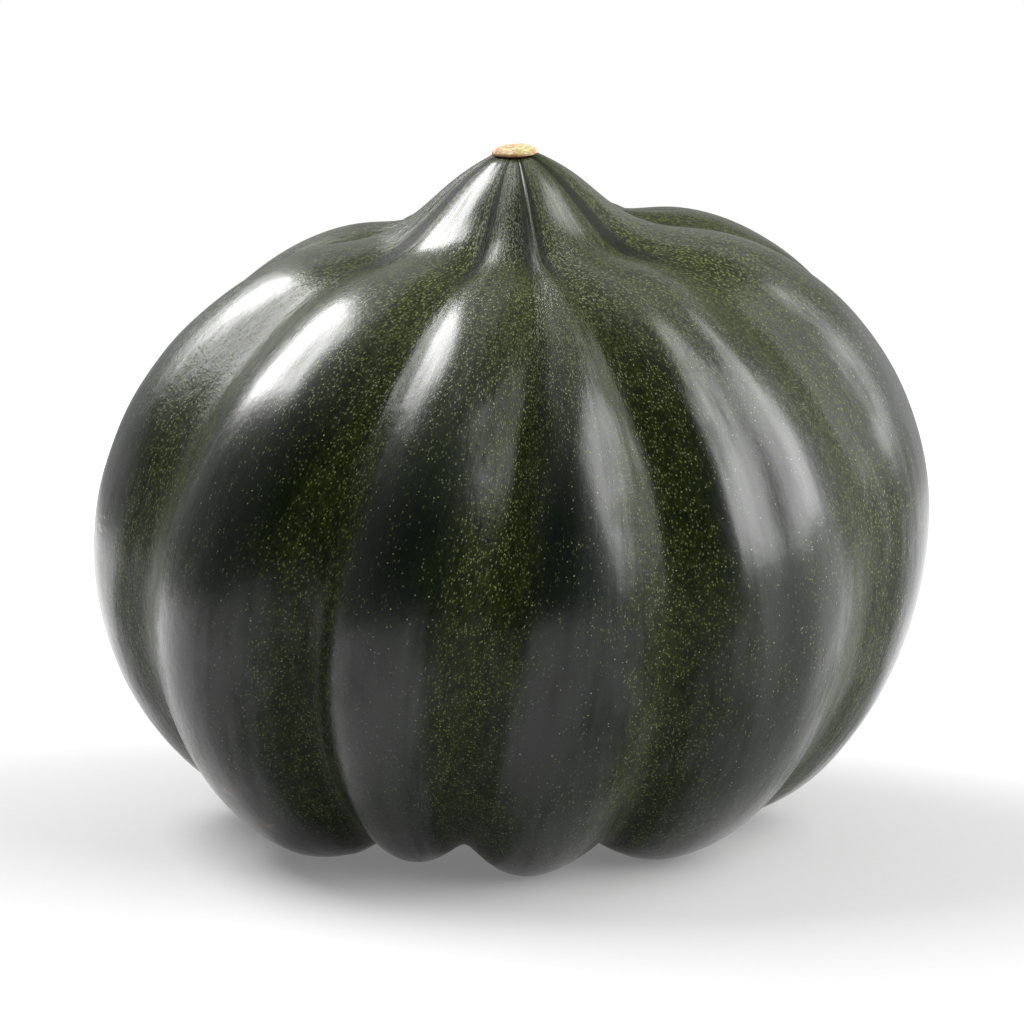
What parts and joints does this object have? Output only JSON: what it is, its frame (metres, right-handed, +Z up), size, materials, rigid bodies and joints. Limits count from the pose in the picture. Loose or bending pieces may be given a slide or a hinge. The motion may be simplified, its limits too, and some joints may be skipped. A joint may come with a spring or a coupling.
{
  "type": "winter squash",
  "caption": "Whole dark green ribbed winter squash of the acorn type, standing on its lobed end with its pointed tip and corky scar up.",
  "frame": {"origin": "on the surface the fruit rests on, under the middle of its box", "axes": "+Z up towards the pointed tip, -Y towards the front of the fruit"},
  "size_m": [0.1386, 0.1354, 0.115],
  "materials": {
    "rind": "waxy satin gloss, very dark green rind with yellow-green flecks",
    "cork": "dry matt tan cork"
  },
  "bodies": {
    "root": {"fruit": "rind", "corky_scar": "cork"}
  },
  "joints": []
}
